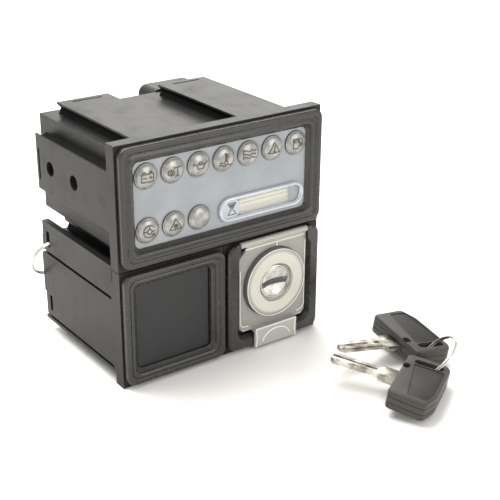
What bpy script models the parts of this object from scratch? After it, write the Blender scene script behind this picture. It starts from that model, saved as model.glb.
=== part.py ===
"""A modular engine instrument panel: a lamp and hour counter module over a blank module and a key switch.

Metres, +Z up. X = 0 is the seam between the two lower modules, Z = 0 the plane it rests on, and the
front faces -Y. Each module is a moulded housing with a flange and dovetail rails, and a raised bezel.
"""

from math import cos, pi, radians, sin, tau

import bmesh
import bpy
from mathutils import Matrix, Vector

# Driving dimensions
GRID = 0.052  # width of a single module
SEAM = 0.0535  # height of the seam between the lower and the upper modules
TOP = 0.108
FRONT = -0.038  # front face of the flanges
GAP = 0.0003  # left between pieces that touch
FLANGE_T = 0.0063
RAIL_H = 0.0054
RAIL_W = 0.0256
RAIL_OFFSET = 0.024  # centre of a rail from its module's left edge
RAIL_END = 0.0693  # measured, like every depth here, from the front of the flange
UPPER_DEPTH = 0.0752
LOWER_DEPTH = 0.0700
WALL = 0.0022
SIDE_WALL = 0.0032

BEZEL_FRONT = -0.0030
BEZEL_CORNER = 0.004
UPPER_OUTER = (0.1022, 0.0518)
UPPER_OPENING = (0.0873, 0.0374)
UPPER_CENTRE = (0.0, 0.0811)
LOWER_OUTER = (0.0502, 0.0511)
LOWER_OPENING = (0.0370, 0.0394)
LOWER_CENTRE_Z = 0.0264

LAMP_PITCH = 0.01265
LAMP_ROWS = ((0.0932, 7), (0.0698, 3))
LAMP_R = 0.0054
COUNTER = (0.0199, 0.0698)
COUNTER_SIZE = (0.0455, 0.0112)
WINDOW = (0.0221, 0.0698)
WINDOW_SIZE = (0.0278, 0.0083)

LOCK = (0.026, 0.0306)
HINGE_Y = -0.0017
HINGE_Z = 0.0520
KNUCKLE_R = 0.0014

KEY_HEAD = (0.0195, 0.0174, 0.0085)  # length along the blade, middle to slot end, thickness
RING_R = 0.0114
WIRE_R = 0.00075


def material(name, colour, roughness, metallic=0.0, alpha=1.0):
    made = bpy.data.materials.new(name)
    made.use_nodes = True
    shader = made.node_tree.nodes["Principled BSDF"]
    shader.inputs["Base Color"].default_value = (*colour, 1.0)
    shader.inputs["Roughness"].default_value = roughness
    shader.inputs["Metallic"].default_value = metallic
    shader.inputs["Alpha"].default_value = alpha
    made.diffuse_color = (*colour, alpha)
    return made


def new_object(name, bm, finish=None, smooth=False):
    bmesh.ops.recalc_face_normals(bm, faces=bm.faces)
    mesh = bpy.data.meshes.new(name)
    bm.to_mesh(mesh)
    bm.free()
    if smooth:
        mesh.shade_smooth()
        mesh.set_sharp_from_angle(angle=radians(40))
    made = bpy.data.objects.new(name, mesh)
    bpy.context.scene.collection.objects.link(made)
    if finish:
        mesh.materials.append(finish)
    return made


def combine(piece, bm, operation):
    """Adds a Boolean of this shape to the piece. The shape's own object is only a helper."""
    helper = new_object(f"{piece.name}_{operation.lower()}", bm)
    helper.hide_render = True
    helper.display_type = "WIRE"
    modifier = piece.modifiers.new(operation.lower(), "BOOLEAN")
    modifier.operation = operation
    modifier.solver = "EXACT"
    modifier.object = helper


def join(piece, bm):
    combine(piece, bm, "UNION")


def cut(piece, bm):
    combine(piece, bm, "DIFFERENCE")


def box(x0, x1, d0, d1, z0, z1):
    """A box between two X, two depths behind the front of the flanges, and two heights."""
    bm = bmesh.new()
    size = Vector((x1 - x0, d1 - d0, z1 - z0))
    middle = Vector(((x0 + x1) / 2, FRONT + (d0 + d1) / 2, (z0 + z1) / 2))
    bmesh.ops.create_cube(bm, size=1.0, matrix=Matrix.Translation(middle) @ Matrix.Diagonal((*size, 1)))
    return bm


def prism(outline, start, end):
    """A solid of one outline, given as 3-D points, moved from start to end along a vector each."""
    bm = bmesh.new()
    face = bm.faces.new([bm.verts.new(Vector(point) + Vector(start)) for point in outline])
    grown = bmesh.ops.extrude_face_region(bm, geom=[face])
    verts = [item for item in grown["geom"] if isinstance(item, bmesh.types.BMVert)]
    bmesh.ops.translate(bm, verts=verts, vec=Vector(end) - Vector(start))
    return bm


def depth_prism(outline, d0, d1):
    """An outline of (x, z) points, run from one depth to another."""
    points = [(x, FRONT, z) for x, z in outline]
    return prism(points, (0, d0, 0), (0, d1, 0))


def turned(profile, centre, segments, closed=False):
    """Turns (radius, depth) points about the line along Y through centre, an (x, z) pair."""
    bm = bmesh.new()
    verts = [bm.verts.new((centre[0] + radius, FRONT + depth, centre[1])) for radius, depth in profile]
    edges = [bm.edges.new(pair) for pair in zip(verts, verts[1:])]
    if closed:
        edges.append(bm.edges.new((verts[-1], verts[0])))
    axis_point = (centre[0], FRONT, centre[1])
    bmesh.ops.spin(
        bm, geom=verts + edges, cent=axis_point, axis=(0, 1, 0), angle=tau, steps=segments, use_merge=True
    )
    bmesh.ops.remove_doubles(bm, verts=bm.verts, dist=1e-6)
    return bm


def cylinder_x(x0, x1, depth, z, radius, segments=16):
    bm = bmesh.new()
    place = Matrix.Translation(((x0 + x1) / 2, FRONT + depth, z)) @ Matrix.Rotation(pi / 2, 4, "Y")
    bmesh.ops.create_cone(
        bm, cap_ends=True, segments=segments, radius1=radius, radius2=radius, depth=x1 - x0, matrix=place
    )
    return bm


def rounded(width, height, radius, segments=4):
    """The (x, z) points of a rectangle with round corners, about its centre."""
    points = []
    for turn, (sx, sz) in enumerate(((1, 1), (-1, 1), (-1, -1), (1, -1))):
        for step in range(segments + 1):
            angle = (turn + step / segments) * pi / 2
            x = sx * (width / 2 - radius) + radius * cos(angle)
            z = sz * (height / 2 - radius) + radius * sin(angle)
            points.append((x, z))
    return points


def frame(loops, centre):
    """A closed ring through loops of equal length, each a list of (x, z) points and its depth."""
    bm = bmesh.new()
    rows = [
        [bm.verts.new((centre[0] + x, FRONT + depth, centre[1] + z)) for x, z in points]
        for points, depth in loops
    ]
    for row, following in zip(rows, rows[1:] + rows[:1]):
        for index in range(len(row)):
            after = (index + 1) % len(row)
            bm.faces.new((row[index], row[after], following[after], following[index]))
    return bm


def torus(centre, normal, major, minor, turns=36, sides=8):
    bm = bmesh.new()
    circle = bmesh.ops.create_circle(bm, segments=sides, radius=minor)
    side = Matrix.Translation((major, 0, 0)) @ Matrix.Rotation(pi / 2, 4, "X")
    bmesh.ops.transform(bm, matrix=side, verts=circle["verts"])
    bmesh.ops.spin(
        bm,
        geom=bm.verts[:] + bm.edges[:],
        cent=(0, 0, 0),
        axis=(0, 0, 1),
        angle=tau,
        steps=turns,
        use_merge=True,
    )
    bmesh.ops.remove_doubles(bm, verts=bm.verts, dist=1e-6)
    tilt = Vector((0, 0, 1)).rotation_difference(Vector(normal)).to_matrix().to_4x4()
    bmesh.ops.transform(bm, matrix=Matrix.Translation(centre) @ tilt, verts=bm.verts)
    return bm


def rail(middle, base, outward, side, d1):
    """A dovetail rail: flat on the outside, with a V groove down each flank. side is 'x' or 'z'."""
    half = RAIL_W / 2
    flank = ((0.0, half), (0.0009, half), (0.0028, half - 0.0019), (RAIL_H + 0.0006, half - 0.0003))
    shape = [(depth, across) for depth, across in flank]
    shape += [(depth, -across) for depth, across in reversed(flank)]
    outline = []
    for depth, across in shape:
        height = base + outward * (RAIL_H - depth)
        outline.append((middle + across, height) if side == "z" else (height, middle + across))
    return depth_prism(outline, FLANGE_T - 0.001, d1)


# The scene starts empty
for old in list(bpy.context.scene.objects):
    bpy.data.objects.remove(old, do_unlink=True)

BLACK = material("housing_black", (0.022, 0.022, 0.024), 0.5)
BEZEL_BLACK = material("bezel_black", (0.02, 0.02, 0.021), 0.32)
PLATE_GREY = material("face_plate_grey", (0.48, 0.55, 0.64), 0.45)
LENS_GREY = material("lamp_lens_grey", (0.42, 0.42, 0.41), 0.3)
RIM_GREY = material("counter_rim_grey", (0.5, 0.56, 0.62), 0.25)
CREAM = material("counter_cream", (0.78, 0.74, 0.62), 0.5)
CLEAR = material("clear_plastic", (0.9, 0.9, 0.88), 0.08, alpha=0.35)
WHITE = material("white_plastic", (0.82, 0.8, 0.75), 0.4)
MILKY = material("cap_milky", (0.78, 0.76, 0.71), 0.25, alpha=0.6)
BOARD = material("board_green", (0.05, 0.2, 0.1), 0.5)
STEEL = material("bright_steel", (0.62, 0.61, 0.58), 0.25, metallic=1.0)
BRASS = material("terminal_brass", (0.7, 0.55, 0.28), 0.35, metallic=1.0)
RUBBER = material("gasket_rubber", (0.03, 0.03, 0.03), 0.8)
KEY_BLACK = material("key_head_black", (0.06, 0.06, 0.058), 0.45)

# Upper housing: flange, box and rails in one moulding, open at the front
UPPER_BASE = SEAM + GAP / 2
BODY_BASE = SEAM + RAIL_H
BODY_TOP = TOP - RAIL_H
BODY_X = GRID - RAIL_H
upper = new_object("top_housing", box(-GRID, GRID, 0, FLANGE_T, UPPER_BASE, TOP), BLACK)
join(upper, box(-BODY_X, BODY_X, FLANGE_T - 0.002, UPPER_DEPTH, BODY_BASE, BODY_TOP))
for left in (-GRID, 0.0):
    join(upper, rail(left + RAIL_OFFSET, BODY_TOP, 1, "z", RAIL_END))
    join(upper, rail(left + RAIL_OFFSET, BODY_BASE - GAP / 2, -1, "z", RAIL_END - 0.0004))
SIDE_RAIL_Z = 0.0831
join(upper, rail(SIDE_RAIL_Z, -BODY_X, -1, "x", RAIL_END + 0.0003))
join(upper, rail(SIDE_RAIL_Z, BODY_X, 1, "x", RAIL_END + 0.0003))
CAVITY_X = BODY_X - WALL
CAVITY_BASE = BODY_BASE + WALL
CAVITY_TOP = BODY_TOP - WALL
cut(upper, box(-CAVITY_X, CAVITY_X, -0.001, UPPER_DEPTH - WALL, CAVITY_BASE, CAVITY_TOP))
CONNECTOR_X = (0.0160, 0.0360)
CONNECTOR_Z = (0.0870, 0.0975)
cut(
    upper,
    box(
        CONNECTOR_X[0] - GAP, CONNECTOR_X[1] + GAP, 0.070, 0.080, CONNECTOR_Z[0] - GAP, CONNECTOR_Z[1] + GAP
    ),
)
SLOT_HALF = 0.0072
for left in (-GRID, 0.0):
    middle = left + RAIL_OFFSET + 0.0005
    cut(upper, box(middle - SLOT_HALF, middle + SLOT_HALF, 0.0653, 0.0663, TOP - 0.003, TOP + 0.001))
for edge in (-1, 1):
    faces = sorted((edge * (GRID - 0.003), edge * (GRID + 0.001)))
    slot_z = SIDE_RAIL_Z - 0.0008
    cut(upper, box(*faces, 0.0667, 0.0678, slot_z - SLOT_HALF, slot_z + SLOT_HALF))
    for depth in (0.0353, 0.0569):
        faces = sorted((edge * (GRID - 0.0045), edge * (GRID + 0.001)))
        cut(upper, cylinder_x(*faces, depth, SIDE_RAIL_Z - 0.0005, 0.0033, 20))


def bezel(name, centre, outer, opening):
    """A raised frame with a small outer bevel and an opening that widens towards the front."""
    flare = 0.0013
    loops = (
        (rounded(*outer, BEZEL_CORNER), -GAP),
        (rounded(*outer, BEZEL_CORNER), BEZEL_FRONT + 0.0008),
        (rounded(outer[0] - 0.0016, outer[1] - 0.0016, BEZEL_CORNER - 0.0008), BEZEL_FRONT),
        (rounded(opening[0] + 2 * flare, opening[1] + 2 * flare, 0.0042), BEZEL_FRONT),
        (rounded(*opening, 0.0030), -GAP),
    )
    return new_object(name, frame(loops, centre), BEZEL_BLACK)


bezel("top_bezel", UPPER_CENTRE, UPPER_OUTER, UPPER_OPENING)

# Face plate with its lamp holes and counter window, on the lamp carrier and the board
plate = new_object(
    "face_plate",
    box(-CAVITY_X + GAP, CAVITY_X - GAP, 0, 0.0015, CAVITY_BASE + GAP, CAVITY_TOP - GAP),
    PLATE_GREY,
)
CARRIER_EDGE = 0.0006
carrier = new_object(
    "lamp_carrier",
    box(
        -CAVITY_X + CARRIER_EDGE,
        CAVITY_X - CARRIER_EDGE,
        0.0055,
        0.0200,
        CAVITY_BASE + CARRIER_EDGE,
        CAVITY_TOP - CARRIER_EDGE,
    ),
    WHITE,
)
LENS_SHANK = 0.0049
LENS_PROFILE = (
    (0, -0.0027),
    (0.0032, -0.0023),
    (0.0050, -0.0016),
    (LAMP_R, -0.0008),
    (LAMP_R, -GAP),
    (LENS_SHANK, -GAP),
    (LENS_SHANK, 0.0048),
    (0, 0.0048),
)
BULB_PROFILE = (
    (0, 0.0110),
    (0.0017, 0.0116),
    (0.0024, 0.0135),
    (0.0024, 0.0172),
    (0.0029, 0.0172),
    (0.0029, 0.0200),
    (0, 0.0200),
)
lamp = 0
for height, count in LAMP_ROWS:
    for column in range(count):
        lamp += 1
        centre = ((column - 3) * LAMP_PITCH, height)
        cut(plate, turned(((0, -0.001), (0.0052, -0.001), (0.0052, 0.003), (0, 0.003)), centre, 16))
        cut(carrier, turned(((0, 0.004), (0.0054, 0.004), (0.0054, 0.022), (0, 0.022)), centre, 12))
        new_object(f"lamp_lens_{lamp}", turned(LENS_PROFILE, centre, 20), LENS_GREY, smooth=True)
        new_object(f"lamp_bulb_{lamp}", turned(BULB_PROFILE, centre, 10), CLEAR, smooth=True)

# Hour counter: a raised rim on the plate, a pane in it and the display behind
window_x = (WINDOW[0] - WINDOW_SIZE[0] / 2, WINDOW[0] + WINDOW_SIZE[0] / 2)
window_z = (WINDOW[1] - WINDOW_SIZE[1] / 2, WINDOW[1] + WINDOW_SIZE[1] / 2)
cut(plate, box(window_x[0] - GAP, window_x[1] + GAP, -0.001, 0.003, window_z[0] - GAP, window_z[1] + GAP))
cut(
    carrier,
    box(window_x[0] - 0.0016, window_x[1] + 0.0016, 0.004, 0.022, window_z[0] - 0.001, window_z[1] + 0.001),
)
RIM_W = 0.0016
rim_inner = (COUNTER_SIZE[0] - 2 * RIM_W, COUNTER_SIZE[1] - 2 * RIM_W + 0.0010)
rim_loops = (
    (rounded(*COUNTER_SIZE, COUNTER_SIZE[1] / 2 - 0.0001), -GAP),
    (rounded(COUNTER_SIZE[0] - 0.0012, COUNTER_SIZE[1] - 0.0010, 0.0050), -0.0016),
    (rounded(rim_inner[0] + 0.0008, rim_inner[1] + 0.0006, 0.0046), -0.0016),
    (rounded(*rim_inner, 0.0044), -GAP),
)
new_object("counter_rim", frame(rim_loops, COUNTER), RIM_GREY, smooth=True)
new_object("counter_window", box(*window_x, -0.0004, 0.0009, *window_z), CLEAR)
new_object(
    "counter_display",
    box(window_x[0] - 0.001, window_x[1] + 0.001, 0.0018, 0.0200, window_z[0] - 0.0006, window_z[1] + 0.0006),
    CREAM,
)
new_object(
    "circuit_board",
    box(-CAVITY_X + 0.0008, CAVITY_X - 0.0008, 0.0203, 0.0219, CAVITY_BASE + 0.0008, CAVITY_TOP - 0.0008),
    BOARD,
)
new_object("rear_connector", box(*CONNECTOR_X, 0.0500, UPPER_DEPTH, *CONNECTOR_Z), BLACK)
HOOD = (0.026, 0.0938)
hood_outline = [(HOOD[0] + x, HOOD[1] + z) for x, z in rounded(0.029, 0.0196, 0.0045)]
new_object("connector_hood", depth_prism(hood_outline, UPPER_DEPTH + GAP, 0.0880), BLACK)


def lower_housing(name, left, outer):
    """A single housing, open at the rear. outer is -1 where its free side is on the left."""
    right = left + GRID
    x0 = left + GAP / 2
    x1 = right - GAP / 2
    free = (x0, x0 + SIDE_WALL) if outer < 0 else (x1 - SIDE_WALL, x1)
    made = new_object(name, box(x0, x1, 0, FLANGE_T, 0, SEAM - GAP / 2), BLACK)
    join(made, box(x0, x1, FLANGE_T - 0.002, LOWER_DEPTH, 0.0051, 0.0481))
    join(made, box(*free, FLANGE_T + GAP, RAIL_END, 0.0400, 0.0549))
    middle = left + RAIL_OFFSET
    join(made, rail(middle, 0.0481 - GAP / 2, 1, "z", RAIL_END - 0.0006))
    join(made, rail(middle, RAIL_H, -1, "z", RAIL_END - 0.0006))
    for z0, z1 in ((0.0192, 0.0385), (0.0052, 0.0070)):
        join(made, box(*free, LOWER_DEPTH - 0.003, 0.0713, z0, z1))
    cut(made, box(x0 + SIDE_WALL, x1 - SIDE_WALL, 0.0042, 0.090, 0.0080, 0.0465))
    half_x, half_z = LOWER_OPENING[0] / 2, LOWER_OPENING[1] / 2
    centre = left + GRID / 2
    cut(
        made,
        box(
            centre - half_x,
            centre + half_x,
            -0.001,
            0.006,
            LOWER_CENTRE_Z - half_z,
            LOWER_CENTRE_Z + half_z,
        ),
    )
    wall_x = free[0 if outer < 0 else 1]
    reach = sorted((wall_x + outer * 0.002, wall_x - outer * 0.0018))
    for z0, z1 in ((0.0393, 0.0407), (0.0067, 0.0080)):
        cut(made, box(*reach, FLANGE_T + 0.0012, 0.090, z0, z1))
    cut(made, box(*reach, 0.0642, 0.0664, 0.0109, 0.0184))
    through = sorted((free[0] - 0.001, free[1] + 0.001))
    cut(made, box(*through, 0.0629, 0.0659, 0.0432, 0.0507))
    return made


lower_housing("blank_housing", -GRID, -1)
lower_housing("switch_housing", 0.0, 1)
bezel("blank_bezel", (-GRID / 2, 0.02695), LOWER_OUTER, LOWER_OPENING)
half_panel = (LOWER_OPENING[0] / 2 - GAP, LOWER_OPENING[1] / 2 - GAP)
panel_z = (LOWER_CENTRE_Z - half_panel[1], LOWER_CENTRE_Z + half_panel[1])
new_object(
    "blank_panel",
    box(-GRID / 2 - half_panel[0], -GRID / 2 + half_panel[0], 0.0006, 0.0026, *panel_z),
    BLACK,
)

# Wire ring hooked through the slot of the blank housing's free side and round its rear edge
RING_TILT = radians(24.8)
wire_centre = (0.0035 - GRID, FRONT + 0.0685, 0.0360)
wire_normal = (0, cos(RING_TILT), sin(RING_TILT))
new_object("wire_ring", torus(wire_centre, wire_normal, 0.0098, 0.0008, 32), STEEL, smooth=True)

# Key switch bezel: open at the top, where two ears hold the pin of the cap
switch_bezel = bezel("switch_bezel", (GRID / 2, 0.02695), LOWER_OUTER, (0.0382, 0.0394))
CUTOUT = (0.0072, 0.0446)
cut(switch_bezel, box(*CUTOUT, -0.005, 0.001, 0.0440, 0.0560))
for x0, x1 in ((CUTOUT[0] - 0.0022, CUTOUT[0]), (CUTOUT[1], CUTOUT[1] + 0.0022)):
    join(switch_bezel, box(x0, x1, BEZEL_FRONT, -GAP, 0.0478, 0.0531))
cut(switch_bezel, cylinder_x(CUTOUT[0] - 0.0016, CUTOUT[1] + 0.0016, HINGE_Y, HINGE_Z, 0.0007, 12))
pin_reach = 0.0012
new_object(
    "cap_hinge_pin",
    cylinder_x(CUTOUT[0] - pin_reach, CUTOUT[1] + pin_reach, HINGE_Y, HINGE_Z, 0.0004, 10),
    STEEL,
    smooth=True,
)

# Flip cap: a thin plate with a hinge knuckle, a round dome over the lock and a latch tab
CAP_BACK = -0.0004
CAP_PLATE = -0.0014
DOME_FRONT = -0.0042
CAP_X = (0.0074, 0.0444)
TAB_X = (0.0143, 0.0377)
plate_outline = (
    (CAP_X[0], 0.0112),
    (CAP_X[0] + 0.0020, 0.0093),
    (CAP_X[1] - 0.0020, 0.0093),
    (CAP_X[1], 0.0112),
    (CAP_X[1], HINGE_Z),
    (CAP_X[0] + 0.0040, HINGE_Z),
    (CAP_X[0] + 0.0040, 0.0494),
    (CAP_X[0], 0.0452),
)
cap = new_object("flip_cap", depth_prism(plate_outline, CAP_PLATE, CAP_BACK), MILKY)
join(cap, cylinder_x(CAP_X[0] + GAP / 2, CAP_X[1] - GAP / 2, HINGE_Y, HINGE_Z, KNUCKLE_R, 14))
DOME_R = 0.0163
dome_profile = (
    (0, DOME_FRONT),
    (DOME_R - 0.0022, DOME_FRONT),
    (DOME_R - 0.0007, DOME_FRONT + 0.0006),
    (DOME_R, DOME_FRONT + 0.0018),
    (DOME_R, CAP_BACK - 0.0002),
    (0, CAP_BACK - 0.0002),
)
join(cap, turned(dome_profile, LOCK, 32))
join(cap, box(*TAB_X, -0.0044, CAP_PLATE + 0.0005, 0.0086, 0.0102))
join(cap, box(*TAB_X, -0.0044, BEZEL_FRONT - GAP, 0.0012, 0.0098))
HOLLOW_R = DOME_R - 0.0012
cut(cap, turned(((0, -0.0034), (HOLLOW_R, -0.0034), (HOLLOW_R, 0.001), (0, 0.001)), LOCK, 32))
PANE_R = 0.0090
cut(cap, turned(((0, -0.006), (PANE_R + GAP, -0.006), (PANE_R + GAP, 0.0), (0, 0.0)), LOCK, 24))
cut(cap, cylinder_x(CAP_X[0] - 0.001, CAP_X[1] + 0.001, HINGE_Y, HINGE_Z, 0.0007, 12))
new_object(
    "cap_window",
    turned(
        ((0, -0.0043), (PANE_R - 0.0004, -0.0041), (PANE_R, -0.0038), (PANE_R, -0.0034), (0, -0.0034)),
        LOCK,
        24,
    ),
    CLEAR,
    smooth=True,
)

# Lock: escutcheon, gasket, barrel, nut and the plug that the key turns
ESCUTCHEON_R = 0.0143
escutcheon_profile = (
    (0.0096, -0.0024),
    (0.0104, -0.0030),
    (0.0130, -0.0030),
    (ESCUTCHEON_R, -0.0020),
    (ESCUTCHEON_R, 0.0),
    (0.0096, 0.0),
)
new_object("lock_escutcheon", turned(escutcheon_profile, LOCK, 28, closed=True), WHITE, smooth=True)
gasket_profile = ((0.0096, 0.0003), (0.0128, 0.0003), (0.0128, 0.0009), (0.0096, 0.0009))
new_object("lock_gasket", turned(gasket_profile, LOCK, 24, closed=True), RUBBER, smooth=True)
switch_plate = new_object(
    "switch_plate", box(GRID / 2 - half_panel[0], GRID / 2 + half_panel[0], 0.0012, 0.0030, *panel_z), BLACK
)
cut(switch_plate, turned(((0, 0.0), (0.0098, 0.0), (0.0098, 0.005), (0, 0.005)), LOCK, 24))
BARREL_R = 0.0093
barrel_profile = (
    (0.0083, -0.0026),
    (BARREL_R, -0.0026),
    (BARREL_R, 0.0300),
    (0.0064, 0.0300),
    (0.0064, 0.0008),
    (0.0083, 0.0008),
)
new_object("lock_barrel", turned(barrel_profile, LOCK, 24, closed=True), STEEL, smooth=True)
nut_profile = ((0, 0.0033), (0.0142, 0.0033), (0.0142, 0.0063), (0, 0.0063))
nut = new_object("lock_nut", turned(nut_profile, LOCK, 6), BRASS)
cut(nut, turned(((0, 0.003), (0.0097, 0.003), (0.0097, 0.007), (0, 0.007)), LOCK, 24))
plug_profile = (
    (0, -0.0029),
    (0.0076, -0.0029),
    (0.0080, -0.0026),
    (0.0080, 0.0004),
    (0.0061, 0.0004),
    (0.0061, 0.0330),
    (0.0030, 0.0330),
    (0.0030, 0.0380),
    (0, 0.0380),
)
plug = new_object("lock_plug", turned(plug_profile, LOCK, 24), STEEL, smooth=True)
cut(plug, box(LOCK[0] - 0.0063, LOCK[0] + 0.0063, -0.004, -0.0010, LOCK[1] - 0.0017, LOCK[1] + 0.0006))
cut(plug, box(LOCK[0] - 0.0050, LOCK[0] + 0.0050, -0.004, 0.0260, LOCK[1] - 0.0016, LOCK[1] + 0.0005))
rotor_profile = (
    (0, 0.0383),
    (0.0060, 0.0383),
    (0.0060, 0.0400),
    (0.0092, 0.0400),
    (0.0092, 0.0440),
    (0, 0.0440),
)
rotor = new_object("contact_rotor", turned(rotor_profile, LOCK, 20), WHITE, smooth=True)
cut(rotor, box(LOCK[0] - 0.0012, LOCK[0] + 0.0012, 0.0425, 0.0450, LOCK[1] - 0.0110, LOCK[1] + 0.0110))

# Contact block with four blade terminals, and the rear cover that they pass
block = new_object(
    "contact_block",
    box(LOCK[0] - 0.015, LOCK[0] + 0.015, 0.0365, 0.0580, LOCK[1] - 0.015, LOCK[1] + 0.015),
    BLACK,
)
cut(block, turned(((0, 0.035), (0.0105, 0.035), (0.0105, 0.0450), (0, 0.0450)), LOCK, 20))
rear_cover = new_object(
    "switch_rear_cover",
    box(SIDE_WALL + 0.0005, GRID - SIDE_WALL - 0.0005, 0.0670, 0.0690, 0.0083, 0.0462),
    BLACK,
)
BLADE_HALF = 0.00315
number = 0
for dx in (-0.0085, 0.0085):
    for dz in (-0.0085, 0.0085):
        number += 1
        x, z = LOCK[0] + dx, LOCK[1] + dz
        slot = (x - BLADE_HALF - GAP, x + BLADE_HALF + GAP, 0.040, 0.0750, z - 0.0007, z + 0.0007)
        cut(block, box(*slot))
        cut(rear_cover, box(*slot))
        blade = box(x - BLADE_HALF, x + BLADE_HALF, 0.0462, 0.0780, z - 0.0004, z + 0.0004)
        new_object(f"blade_terminal_{number}", blade, BRASS)


def strip_outline(z_outer, z_inner):
    """Half the section of a joining strip: its edge, from the open face of the rails inwards."""
    half = GRID / 2 - RAIL_W / 2 - GAP
    steps = ((0.0, 0.0), (0.0009, 0.0), (0.0028, 0.0019), (RAIL_H - GAP, 0.0004))
    span = z_inner - z_outer
    return [(half + nose, z_outer + span * depth / (RAIL_H - GAP)) for depth, nose in steps]


# Dovetail strips that join the modules, slid in between their rails
STRIP_D = (0.0100, 0.0640)
STRIP_X = (RAIL_OFFSET * 2 - GRID) / 2


def joining_strip(name, right_side):
    mirrored = [(-x, z) for x, z in reversed(right_side)]
    outline = [(STRIP_X + x, z) for x, z in right_side + mirrored]
    return new_object(name, depth_prism(outline, *STRIP_D), BLACK)


joining_strip("joining_strip_bottom", strip_outline(0.0, 0.0048))
lower_part = list(reversed(strip_outline(SEAM, SEAM - RAIL_H + GAP)))
upper_part = strip_outline(SEAM, SEAM + RAIL_H - GAP)
joining_strip("joining_strip_middle", lower_part[:-1] + upper_part[1:])

# Two keys on a split ring, lying in front
KEY_RING_CENTRE = Vector((0.0640, FRONT - 0.0680, 0.0089))
KEY_RING_NORMAL = Vector((-0.53, 0.455, 0.717)).normalized()
new_object("key_ring", torus(KEY_RING_CENTRE, KEY_RING_NORMAL, RING_R, WIRE_R), STEEL, smooth=True)


def flat_outline(points, height):
    return [(u, v, height) for u, v in points]


def key(name, x, depth, rise, yaw, pitch, roll, flip):
    """One key. Its blade runs along local +X, and its ring slot is at flip times local Y."""
    place = (
        Matrix.Translation((x, FRONT + depth, rise))
        @ Matrix.Rotation(radians(yaw), 4, "Z")
        @ Matrix.Rotation(-radians(pitch), 4, "Y")
        @ Matrix.Rotation(radians(roll), 4, "X")
    )
    length, half, thick = KEY_HEAD
    slot_corner = [
        (-length + 0.005 - 0.005 * sin(turn), half - 0.005 + 0.005 * cos(turn))
        for turn in (radians(step * 22.5) for step in range(5))
    ]
    outline = (
        (0, half - 0.0016),
        (-0.0016, half),
        *slot_corner,
        (-length, -0.0116),
        (-0.0168, -0.0200),
        (-0.0150, -0.0208),
        (-0.0022, -0.0192),
        (0, -0.0172),
    )
    head_bm = prism(flat_outline([(u, flip * v) for u, v in outline], 0), (0, 0, 0), (0, 0, thick))
    rim = [edge for edge in head_bm.edges if abs(edge.verts[0].co.z - edge.verts[1].co.z) < 1e-6]
    bmesh.ops.bevel(head_bm, geom=rim, offset=0.0009, segments=1, profile=0.5, affect="EDGES", material=-1)
    bmesh.ops.transform(head_bm, matrix=place, verts=head_bm.verts)
    head = new_object(f"{name}_head", head_bm, KEY_BLACK)
    slot_points = [(-0.0104 + u, flip * 0.0121 + v) for u, v in rounded(0.0130, 0.0038, 0.0018, 3)]
    slot_bm = prism(flat_outline(slot_points, 0), (0, 0, -0.002), (0, 0, thick + 0.002))
    pocket_points = ((-0.0070, -0.0041), (0.0010, -0.0041), (0.0010, 0.0041), (-0.0070, 0.0041))
    pocket_bm = prism(flat_outline(pocket_points, 0), (0, 0, 0.0028), (0, 0, 0.0057))
    for shape in (slot_bm, pocket_bm):
        bmesh.ops.transform(shape, matrix=place, verts=shape.verts)
        cut(head, shape)
    cut(head, torus(KEY_RING_CENTRE, KEY_RING_NORMAL, RING_R, WIRE_R + 0.0010, 28, 8))
    half_blade = (
        (-0.0067, 0.0038),
        (0.0004, 0.0038),
        (0.0004, 0.0052),
        (0.0072, 0.0052),
        (0.0082, 0.0031),
        (0.0278, 0.0031),
        (0.0293, 0.0018),
    )
    blade_points = [*half_blade, *((u, -v) for u, v in reversed(half_blade))]
    blade_bm = prism(flat_outline(blade_points, 0), (0, 0, 0.0031), (0, 0, 0.0054))
    bmesh.ops.transform(blade_bm, matrix=place, verts=blade_bm.verts)
    new_object(f"{name}_blade", blade_bm, STEEL)


key("key_a", 0.0603, -0.0457, 0.00356, 170.5, 7.7, -3.2, 1)
key("key_b", 0.0389, -0.0704, 0.00356, 122.0, 8.0, 2.7, -1)
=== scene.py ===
from math import cos, pi, radians, sin, sqrt, tau

import bmesh
import bpy
from mathutils import Matrix, Vector


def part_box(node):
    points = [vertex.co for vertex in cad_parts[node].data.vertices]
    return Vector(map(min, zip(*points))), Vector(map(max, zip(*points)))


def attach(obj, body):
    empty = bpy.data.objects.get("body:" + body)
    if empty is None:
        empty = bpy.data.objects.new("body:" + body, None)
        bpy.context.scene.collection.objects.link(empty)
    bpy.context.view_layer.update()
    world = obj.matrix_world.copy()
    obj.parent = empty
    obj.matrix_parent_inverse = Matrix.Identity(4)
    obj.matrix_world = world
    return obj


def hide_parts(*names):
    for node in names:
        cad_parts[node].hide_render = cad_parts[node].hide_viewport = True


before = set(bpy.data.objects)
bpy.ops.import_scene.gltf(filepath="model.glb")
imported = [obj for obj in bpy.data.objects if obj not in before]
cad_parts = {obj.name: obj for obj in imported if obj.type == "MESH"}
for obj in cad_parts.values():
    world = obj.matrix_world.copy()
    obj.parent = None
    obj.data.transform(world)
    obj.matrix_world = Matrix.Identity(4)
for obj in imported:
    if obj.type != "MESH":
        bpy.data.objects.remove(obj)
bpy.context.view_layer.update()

# Studio: a white table under one large softbox, with a weaker one on each side and white walls all round.
# The camera stands to the left of the panel and a little above it, with a long lens.
camera_data = bpy.data.cameras.new("camera")
camera_data.lens = 79.9
camera_data.clip_start = 0.01
camera = bpy.data.objects.new("camera", camera_data)
camera.location = (-0.2511, -0.4000, 0.2426)
camera.rotation_euler = (radians(66.553), radians(-0.342), radians(-36.084))
bpy.context.scene.collection.objects.link(camera)
bpy.context.scene.camera = camera
bpy.context.scene.view_settings.view_transform = "Standard"

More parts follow.
